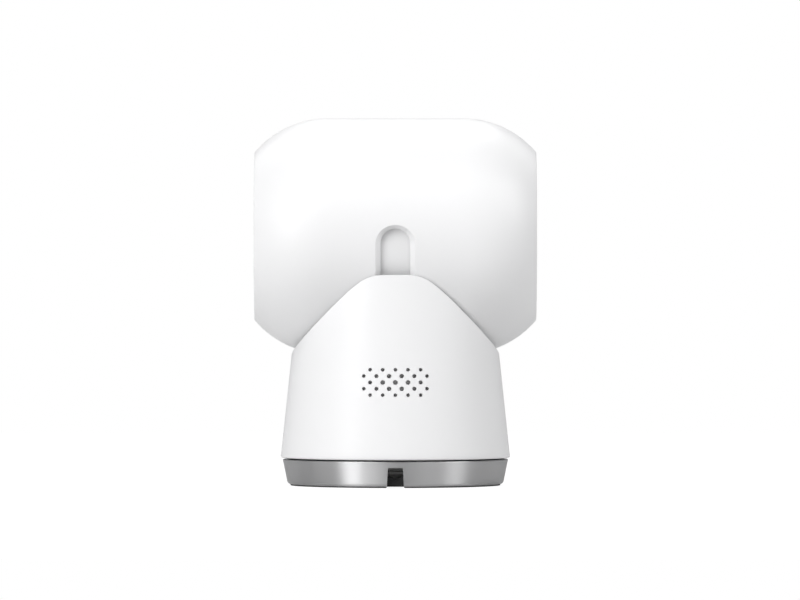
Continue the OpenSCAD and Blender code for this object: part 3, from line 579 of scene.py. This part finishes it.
# %% Where the body's wall ends
COLLAR_EDGE_ANGLE = math.radians(56.8)
COLLAR_FOOT_OUT = 0.0075
COLLAR_FOOT_DROP = 0.022
SEARCH_LOW = BODY_Z + 0.02
SEARCH_HIGH = COLLAR_Z + 0.002
NO_DISH = 1.0
dish_r = HEAD_R + CRADLE_GAP
dish_flat = FLAT_HALF + DISH_FLAT_EXTRA
dish_shoulder = SHOULDER_R + DISH_SHOULDER_EXTRA


def body_radius(z):
    """Radius of the body's outer cone at a height."""
    return BODY_R - BODY_TAPER * (z - BODY_Z)


def dish_height(x, y):
    """Height of the dish's underside over a place, or far up where there is no dish."""
    over = np.clip(np.abs(x) - dish_flat, 0, None)
    radius = dish_r - dish_shoulder + np.sqrt(np.clip(dish_shoulder ** 2 - over ** 2, 0, None))
    inside = radius ** 2 - (y - axle.y) ** 2
    return np.where(inside > 0, axle.z - np.sqrt(np.clip(inside, 0, None)), NO_DISH)


def collar_height(x):
    """Height of the collar's outline over a place, seen from behind."""
    turn_x = COLLAR_MID + COLLAR_ARC * math.cos(COLLAR_EDGE_ANGLE)
    turn_z = COLLAR_Z - COLLAR_ARC + COLLAR_ARC * math.sin(COLLAR_EDGE_ANGLE)
    over = np.clip(np.abs(x) - COLLAR_MID, 0, None)
    arc = COLLAR_Z - COLLAR_ARC + np.sqrt(np.clip(COLLAR_ARC ** 2 - over ** 2, 0, None))
    low_x, low_z = BODY_R + COLLAR_FOOT_OUT, COLLAR_Z - COLLAR_FOOT_DROP
    line = turn_z + (np.abs(x) - turn_x) * (low_z - turn_z) / (low_x - turn_x)
    return np.where(np.abs(x) < turn_x, arc, line)


def top_height(x, y):
    """Height at which the wall is cut off over a place."""
    return np.minimum(dish_height(x, y), collar_height(x))


def wall_top(turn, inset):
    """Where the wall at this inset first meets the cut, going up: a coarse search, then halving."""
    levels = np.linspace(SEARCH_LOW, SEARCH_HIGH, 400)
    radius = body_radius(levels)[:, None] - inset
    under = top_height(radius * np.cos(turn), radius * np.sin(turn)) > levels[:, None]
    first = np.argmin(under, axis=0)
    low, high = levels[np.clip(first - 1, 0, None)], levels[first]
    for _ in range(30):
        middle = (low + high) / 2
        radius_mid = body_radius(middle) - inset
        ok = top_height(radius_mid * np.cos(turn), radius_mid * np.sin(turn)) > middle
        low, high = np.where(ok, middle, low), np.where(ok, high, middle)
    return low


print("collar top %.1f mm, dish radius %.1f mm" % (COLLAR_Z / MM, dish_r / MM))

# %% [markdown]
# With the ends of the wall known, each angle gets one closed section with the same count of points,
# so that all sections join into one sheet. The foot of the wall has a radius too, because the dark
# gap above the base ring is drawn by that edge.

# %% Body shell with its rolled rim
RIM_SIDE = 0.0007
RIM_REAR = 0.00014
RIM_INNER = 0.0001
RIM_SHARE = 0.45
REAR_SHARE = 0.7
FOOT_ROUND = 0.0005
BODY_STEPS = 720
WALL_ROWS = 48
INSIDE_ROWS = 16
FLAT_POINTS = 9


def wall_section(turn, z_out, z_in):
    """The wall's closed section at one angle, as (radius, height)."""
    r_out, r_in = body_radius(z_out), body_radius(z_in) - BODY_WALL
    across = r_out - np.linspace(0, 1, 15)[1:-1] * (r_out - r_in)
    over_rim = [(r, float(top_height(r * math.cos(turn), r * math.sin(turn)))) for r in across]
    rearward = max(0, math.sin(turn)) ** 2
    radius = min(RIM_SIDE + (RIM_REAR - RIM_SIDE) * rearward, RIM_SHARE * (r_out - over_rim[-1][0]))
    wall_foot = (body_radius(BODY_Z + FOOT_ROUND), BODY_Z + FOOT_ROUND)
    round_out = fillet((r_out, z_out), wall_foot, over_rim[5 if rearward < REAR_SHARE else 3],
                       radius, 6)
    round_in = fillet((r_in, z_in), over_rim[-3], (body_radius(BODY_Z) - BODY_WALL, BODY_Z),
                      RIM_INNER, 3)
    flat = [p for p in over_rim if round_out[-1][0] > p[0] > round_in[0][0]]
    while len(flat) < FLAT_POINTS:
        following = np.asarray(flat[0] if flat else round_in[0])
        flat.insert(0, round_out[-1] + (following - round_out[-1]) / 2)
    foot = [(BODY_R - FOOT_ROUND * (1 - math.sin(a)), BODY_Z + FOOT_ROUND * (1 - math.cos(a)))
            for a in np.linspace(0.1, math.pi / 2, 5)]
    outside = [(body_radius(z), z) for z in np.linspace(foot[-1][1], round_out[0][1], WALL_ROWS)[1:-1]]
    inside = [(body_radius(z) - BODY_WALL, z)
              for z in np.linspace(round_in[-1][1], BODY_Z, INSIDE_ROWS)[1:]]
    return np.array([tuple(p)
                     for p in foot + outside + round_out + flat[-FLAT_POINTS:] + round_in + inside])


turns = (np.arange(BODY_STEPS) + 0.5) * 2 * math.pi / BODY_STEPS
columns = []
for turn, z_out, z_in in zip(turns, wall_top(turns, 0), wall_top(turns, BODY_WALL)):
    section = wall_section(turn, z_out, z_in)
    columns.append(np.stack([section[:, 0] * math.cos(turn), section[:, 0] * math.sin(turn),
                             section[:, 1]], axis=-1))
body_skin = new_piece("body_skin", [sheet(np.stack(columns, axis=1))])
print("body skin:", len(body_skin.data.vertices), "points")

# %% [markdown]
# The speaker grille is a field of 27 drilled holes, largest in the middle. Each cutter is a short rod
# with a small flare where it leaves the wall, because drilled and moulded holes are never quite
# sharp. The memory card's slot at the front of the body is cut in the same way.

# %% Grille holes and card slot
GRILLE_PITCH = 0.00356
GRILLE_ROW = 0.00178
GRILLE_Z = 0.0297
HOLE_MID = 0.00136
HOLE_END = 0.0010
HOLE_FLARE = 0.00007
HOLE_DEEP = 0.005
HOLE_PAST = 0.002
HOLE_STEPS = 40
CARD_CLEAR = 0.0003
CARD_PAST = 0.001
CARD_DEEP = 0.008
cutters = []
for row in range(-2, 3):
    holes = 5 if row % 2 == 0 else 6
    for i in range(holes):
        x = (i - (holes - 1) / 2) * GRILLE_PITCH
        z = GRILLE_Z + row * GRILLE_ROW
        off = min(1, math.hypot(x / (2.5 * GRILLE_PITCH), row / 2))
        radius = (HOLE_MID - (HOLE_MID - HOLE_END) * off * off) / 2
        wall_y = math.sqrt(body_radius(z) ** 2 - x * x)
        flared = radius + HOLE_FLARE
        cutters.append(lathe_y([(0, wall_y - HOLE_DEEP), (radius, wall_y - HOLE_DEEP),
                                (radius, wall_y - 2 * HOLE_FLARE), (flared, wall_y),
                                (flared, wall_y + HOLE_PAST), (0, wall_y + HOLE_PAST)],
                               (x, 0, z), HOLE_STEPS))
cut(body_skin, new_piece("grille_cutters", cutters))
card_low, card_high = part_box("memory_card")
cut(body_skin, new_piece("card_cutter", [box_part(
    (card_low.x - CARD_CLEAR, -BODY_R - CARD_PAST, card_low.z - CARD_CLEAR),
    (card_high.x + CARD_CLEAR, -BODY_R + CARD_DEEP, card_high.z + CARD_CLEAR))]))


def body_exact(p):
    """Distance off the outer cone, and the cone's own normal."""
    radius = np.hypot(p[:, 0], p[:, 1])
    off = radius - body_radius(p[:, 2])
    slope = math.hypot(1, BODY_TAPER)
    normal = np.stack([p[:, 0] / radius / slope, p[:, 1] / radius / slope,
                       np.full(len(p), BODY_TAPER / slope)], axis=1)
    return off, normal


smooth(body_skin, CRISP_ANGLE, body_exact)
carry(body_skin, "white_shell", "camera_body", "body_shell")
print("body skin cut:", len(body_skin.data.polygons), "faces")

# %% [markdown]
# The head is a barrel on its side: a straight middle, a large arc down to each flat end, and a small
# radius at the edge of each end disc. It is turned as one section round the tilt axle, which gives
# the two moulded halves one continuous surface across their seam.

# %% Section of the head
END_RADIUS = 0.0006
END_REACH = 0.0008
HEAD_STEPS = 600


def barrel_radius(x, inset=0):
    """Radius of the barrel at a place along the axle, for a skin set in from the outside."""
    over = np.clip(np.abs(x) - FLAT_HALF, 0, None)
    shoulder = SHOULDER_R - inset
    return HEAD_R - SHOULDER_R + np.sqrt(np.clip(shoulder ** 2 - over ** 2, 0, None))


def barrel_profile(inset, end_radius, flat_rows, arc_rows):
    """(radius, x) from one end's middle over the barrel to the other end's middle."""
    half = HEAD_HALF - inset
    edge = float(barrel_radius(half, inset))
    near = half - END_REACH
    corner = fillet((edge, half), (0, half), (float(barrel_radius(near, inset)), near),
                    end_radius, 7) if end_radius else [(edge, half)]
    last = math.asin((float(corner[-1][1]) - FLAT_HALF) / (SHOULDER_R - inset))
    arc = [(HEAD_R - SHOULDER_R + (SHOULDER_R - inset) * math.cos(a),
            FLAT_HALF + (SHOULDER_R - inset) * math.sin(a))
           for a in np.linspace(last, 0, arc_rows)]
    disc = [(r, half) for r in np.linspace(0, float(corner[0][0]), 12)[:-1]]
    right = disc + [tuple(p) for p in corner][:-1] + arc
    middle = [(HEAD_R - inset, x) for x in np.linspace(FLAT_HALF, -FLAT_HALF, flat_rows)[1:-1]]
    return right + middle + [(r, -x) for r, x in reversed(right)]


def turned_head(profile, outward):
    """Profile turned round the tilt axle; the ends close at the axle itself."""
    turn = np.linspace(0, 2 * math.pi, HEAD_STEPS, endpoint=False)
    profile = np.asarray(profile, float)
    rows = np.stack([np.broadcast_to(profile[:, None, 1], (len(profile), HEAD_STEPS)),
                     axle.y + profile[:, None, 0] * np.cos(turn),
                     axle.z + profile[:, None, 0] * np.sin(turn)], axis=-1)
    points, faces = sheet(rows, close_rows=False)
    return points, faces if outward else faces[:, ::-1]


print("end disc radius %.1f mm" % (float(barrel_radius(HEAD_HALF)) / MM))

# %% [markdown]
# The neck slot runs round the head with a round end at the back and at the front. It is tapered, as
# a moulded slot has to be to leave its tool, and flares at the outer lip, so the lip is slightly
# soft. Its cutter is a stack of slot outlines, one for each height above the axle, with both ends
# closed by strips of faces.

# %% Cutter for the neck slot
SLOT_FRONT = math.radians(30)
SLOT_REAR = math.radians(86.8)
SLOT_IN = 0.00415
SLOT_OUT = 0.00555
SLOT_LIP = 0.00022
SLOT_BELOW = 0.0026
SLOT_ABOVE = 0.001


def slot_tool():
    """Points and faces of the slot's cutter."""
    slope = (SLOT_OUT - SLOT_IN) / HEAD_WALL
    inner = HEAD_R - HEAD_WALL
    levels = [(inner - SLOT_BELOW, SLOT_IN), (inner, SLOT_IN),  # height and half width
              (HEAD_R - SLOT_LIP, SLOT_OUT - slope * SLOT_LIP),
              (HEAD_R - 0.45 * SLOT_LIP, SLOT_OUT - 0.1 * SLOT_LIP),
              (HEAD_R, SLOT_OUT + 0.5 * SLOT_LIP),
              (HEAD_R + SLOT_ABOVE, SLOT_OUT + SLOT_ABOVE * slope + SLOT_LIP)]
    around = []
    swing = np.linspace(-SLOT_FRONT, SLOT_REAR, 160)
    ends = np.linspace(0, math.pi, 37)[1:-1]
    for height, width in levels:
        loop = []

        def place(angle, x, along):
            """A point at this level, swung round the axle, and moved along the slot."""
            down = Vector((0, math.sin(angle), -math.cos(angle)))
            ahead = Vector((0, math.cos(angle), math.sin(angle)))
            return axle + down * height + ahead * along + Vector((x, 0, 0))

        loop += [place(a, width, 0) for a in swing]
        loop += [place(SLOT_REAR, width * math.cos(t), width * math.sin(t)) for t in ends]
        loop += [place(a, -width, 0) for a in swing[::-1]]
        loop += [place(-SLOT_FRONT, -width * math.cos(t), -width * math.sin(t)) for t in ends]
        around.append([tuple(p) for p in loop])
    points, faces = sheet(np.array(around), close_rows=False)
    faces = faces.tolist()
    width = len(around[0])
    runs, caps = len(swing), len(ends)
    pairs = [(i, 2 * runs + caps - 1 - i) for i in range(runs)]
    rear = [(runs + i, runs + caps - 1 - i) for i in range(caps // 2)]
    front = [((2 * runs + caps + i), (2 * runs + 2 * caps - 1 - i)) for i in range(caps // 2)]
    strip = [(b, a) for a, b in front[::-1]] + pairs + rear
    tip_front, tip_rear = 2 * runs + caps + caps // 2, runs + caps // 2
    for level, way in ((0, 1), (len(levels) - 1, -1)):
        base = level * width
        for (a, b), (c, d) in zip(strip[:-1], strip[1:]):
            faces.append([base + a, base + b, base + d, base + c][::way])
        faces.append([base + strip[0][1], base + strip[0][0], base + tip_front][::way])
        faces.append([base + strip[-1][0], base + strip[-1][1], base + tip_rear][::way])
    return points, faces


print("slot from %.0f degrees in front to %.1f behind" % (math.degrees(SLOT_FRONT),
                                                           math.degrees(SLOT_REAR)))

# %% [markdown]
# Each half is the same hollow barrel, kept on one side of the seam, with the slot cut out. A gap of
# a few hundredths of a millimetre at the seam is enough to draw the hairline that a real parting
# line shows. The front half ends at the flat face.

# %% Head shells
SEAM_GAP = 0.00006
WALL_NEAR_END = 0.0005
FAR = 0.1


def head_exact(p):
    """Distance off the barrel, and the barrel's own normal."""
    y, z = p[:, 1] - axle.y, p[:, 2] - axle.z
    radius = np.hypot(y, z)
    over = np.clip(np.abs(p[:, 0]) - FLAT_HALF, 0, None)
    off = np.where(np.abs(p[:, 0]) < HEAD_HALF - WALL_NEAR_END, radius - barrel_radius(p[:, 0]), 1)
    tip = np.sign(p[:, 0]) * over / SHOULDER_R
    around = np.sqrt(np.clip(1 - tip ** 2, 0, None))
    normal = np.stack([tip, around * y / radius, around * z / radius], axis=1)
    return off, normal


def head_half(name, low_y, high_y):
    """The part of the hollow head between two distances behind the axle."""
    outer = turned_head(barrel_profile(0, END_RADIUS, 24, 44), True)
    inner = turned_head(barrel_profile(HEAD_WALL, 0, 12, 24), False)
    piece = new_piece(name, [outer])
    cut(piece, new_piece("hollow", [inner]))
    kept = box_part((-FAR, axle.y + low_y, -FAR), (FAR, axle.y + high_y, 3 * FAR))
    cut(piece, new_piece("half", [kept]), "INTERSECT")
    return cut(piece, new_piece("slot_tool", [slot_tool()]))


rear_skin = head_half("head_rear_skin", SEAM_Y + SEAM_GAP, FAR)
smooth(rear_skin, exact=head_exact)
carry(rear_skin, "white_shell", "head", "head_rear_shell")
front_skin = head_half("head_front_skin", FACE_Y, SEAM_Y - SEAM_GAP)
smooth(front_skin, exact=head_exact)
carry(front_skin, "white_shell", "head", "head_front_shell")
print("head skins:", len(rear_skin.data.polygons), "and", len(front_skin.data.polygons), "faces")

# %% [markdown]
# The base ring is turned from aluminium: a slightly tapered wall, a generous radius at the table and
# a hairline chamfer at the top. The wall gets extra rows beside each radius, so that the shading of
# the flat wall isn't pulled round by the radius. The cable notch is cut through it afterwards.

# %% Turned base ring with its cable notch
RING_WALL = 0.0012
RING_LIP = 0.0016
RING_TAPER = 0.172
RING_ROUND = 0.0012
RING_EDGE = 0.00022
RING_STEP = 0.0004
RING_SHELF = 0.0011
RING_STEPS = 720
NOTCH_TOP = 0.0042
NOTCH_LOW = 0.0048
NOTCH_Z = 0.0057
NOTCH_CORNER = 0.00025
NOTCH_FLARE = 0.0001
NOTCH_BELOW = 0.001
NOTCH_DEEP = 0.008
NOTCH_PAST = 0.002
ring_low, ring_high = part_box("base_ring")
ring_r, ring_foot, ring_top = ring_high.x, ring_low.z, ring_high.z
low_r = ring_r - RING_TAPER * (ring_top - ring_foot)
round_out = [(low_r - RING_ROUND + RING_ROUND * math.cos(a), ring_foot + RING_ROUND * (1 + math.sin(a)))
             for a in np.radians(np.linspace(-90, -10, 13))]
edge_out = fillet((ring_r, ring_top), round_out[-1], (ring_r - RING_WALL, ring_top), RING_EDGE, 6)
inner_r = low_r - RING_WALL - RING_STEP
edge_in = fillet((ring_r - RING_WALL, ring_top), (ring_r, ring_top),
                 (inner_r, ring_foot + RING_SHELF), RING_EDGE / 2, 4)
wall = [np.asarray(round_out[-1]) + (edge_out[0] - np.asarray(round_out[-1])) * t
        for t in (0.02, 0.35, 0.65, 0.98)]
section = ([(low_r - RING_LIP, ring_foot), (low_r - RING_ROUND - 0.00005, ring_foot)] + round_out
           + wall + list(edge_out) + list(edge_in)
           + [(inner_r, ring_foot + RING_SHELF), (low_r - RING_LIP, ring_foot + RING_SHELF)])
ring_skin = new_piece("ring_skin", [lathe_z([tuple(p) for p in section], RING_STEPS)])
notch = [(-NOTCH_LOW / 2 - NOTCH_FLARE, -NOTCH_BELOW), (-NOTCH_LOW / 2, 0), (-NOTCH_TOP / 2, NOTCH_Z),
         (NOTCH_TOP / 2, NOTCH_Z), (NOTCH_LOW / 2, 0), (NOTCH_LOW / 2 + NOTCH_FLARE, -NOTCH_BELOW)]
notch = rounded(notch, [0, 0, NOTCH_CORNER, NOTCH_CORNER, 0, 0], 5)
rows = np.array([[(p[0], y, p[1]) for p in notch] for y in (ring_r - NOTCH_DEEP, ring_r + NOTCH_PAST)])
notch_points, notch_faces = sheet(rows, close_rows=False)
caps = [list(range(len(notch)))[::-1], list(range(len(notch), 2 * len(notch)))]
cut(ring_skin, new_piece("notch_tool", [(notch_points, notch_faces.tolist() + caps)]))
smooth(ring_skin)
carry(ring_skin, "satin_metal", "base", "base_ring")
print("ring skin:", len(ring_skin.data.polygons), "faces")

# %% [markdown]
# The lens ring stands a little proud of the face. It slopes down towards the glass like a shallow
# funnel, and its outer edge has a small radius that catches a thin highlight all the way round. It
# is a turned piece, so its section is drawn once and swept round the lens's own axis.

# %% Lens ring
LENS_IN = 0.008
FUNNEL_WIDE = 0.00075
FUNNEL_DEEP = 0.00055
COLLAR_WIDE = 0.0013
COLLAR_DEEP = 0.0009
LENS_RADII = (0, 0.00008, 0.0001, 0.00025, 0.00005, 0, 0)
LENS_STEPS = 240
trim_low, trim_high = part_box("lens_ring")
lens_centre = (0, 0, axle.z)
lens_out, lens_front, lens_back = trim_high.x, trim_low.y, trim_high.y
section = rounded([(LENS_IN, lens_back - COLLAR_DEEP), (LENS_IN, lens_front + FUNNEL_DEEP),
                   (lens_out - FUNNEL_WIDE, lens_front), (lens_out, lens_front),
                   (lens_out, lens_back), (lens_out - COLLAR_WIDE, lens_back),
                   (lens_out - COLLAR_WIDE, lens_back - COLLAR_DEEP)], LENS_RADII, 6)
trim = new_piece("lens_trim_ring", [lathe_y([tuple(p) for p in section], lens_centre, LENS_STEPS)])
smooth(trim)
carry(trim, "lens_trim", "head", "lens_ring")
print("lens ring:", len(trim.data.polygons), "faces")

# %% [markdown]
# The floodlight windows are opal discs held by a flange behind the face. Their front is moulded with
# shallow rings that spread the light of the diodes. The rings are real geometry, not a bump, since
# they are few and wide enough to be seen at an angle.

# %% Floodlight windows
LIGHT_X = 0.0204
LIGHT_R = 0.0064
FLANGE_R = LIGHT_R + 0.0008
FLANGE_CLEAR = 0.00002
PLAIN_EDGE = 0.0005
LIGHT_EDGE = 0.0003
LIGHT_STEPS = 180
DIFFUSER_RINGS = 14
RING_DEPTH = 0.00007
RING_CREASE = 24
diffuser_low, diffuser_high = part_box("light_diffusers")
light_front, light_back = diffuser_low.y, diffuser_high.y
flange_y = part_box("front_bezel")[1].y + FLANGE_CLEAR
pitch = (LIGHT_R - PLAIN_EDGE) / DIFFUSER_RINGS
front_face = [(0, light_front + RING_DEPTH)]
for i in range(DIFFUSER_RINGS):
    for part, depth in ((0.15, 1), (0.5, 0), (0.85, 1)):
        front_face.append(((i + part) * pitch, light_front + depth * RING_DEPTH))
edge = fillet((LIGHT_R, light_front), (0, light_front), (LIGHT_R, flange_y), LIGHT_EDGE, 6)
section = (front_face + [tuple(p) for p in edge] + [(LIGHT_R, flange_y), (FLANGE_R, flange_y),
           (FLANGE_R, light_back), (0, light_back)])
windows = new_piece("floodlight_windows", [lathe_y(section, (side * LIGHT_X, 0, axle.z), LIGHT_STEPS)
                                           for side in (-1, 1)])
smooth(windows, RING_CREASE)
carry(windows, "opal", "head", "light_diffusers")
print("floodlight windows:", len(windows.data.polygons), "faces")
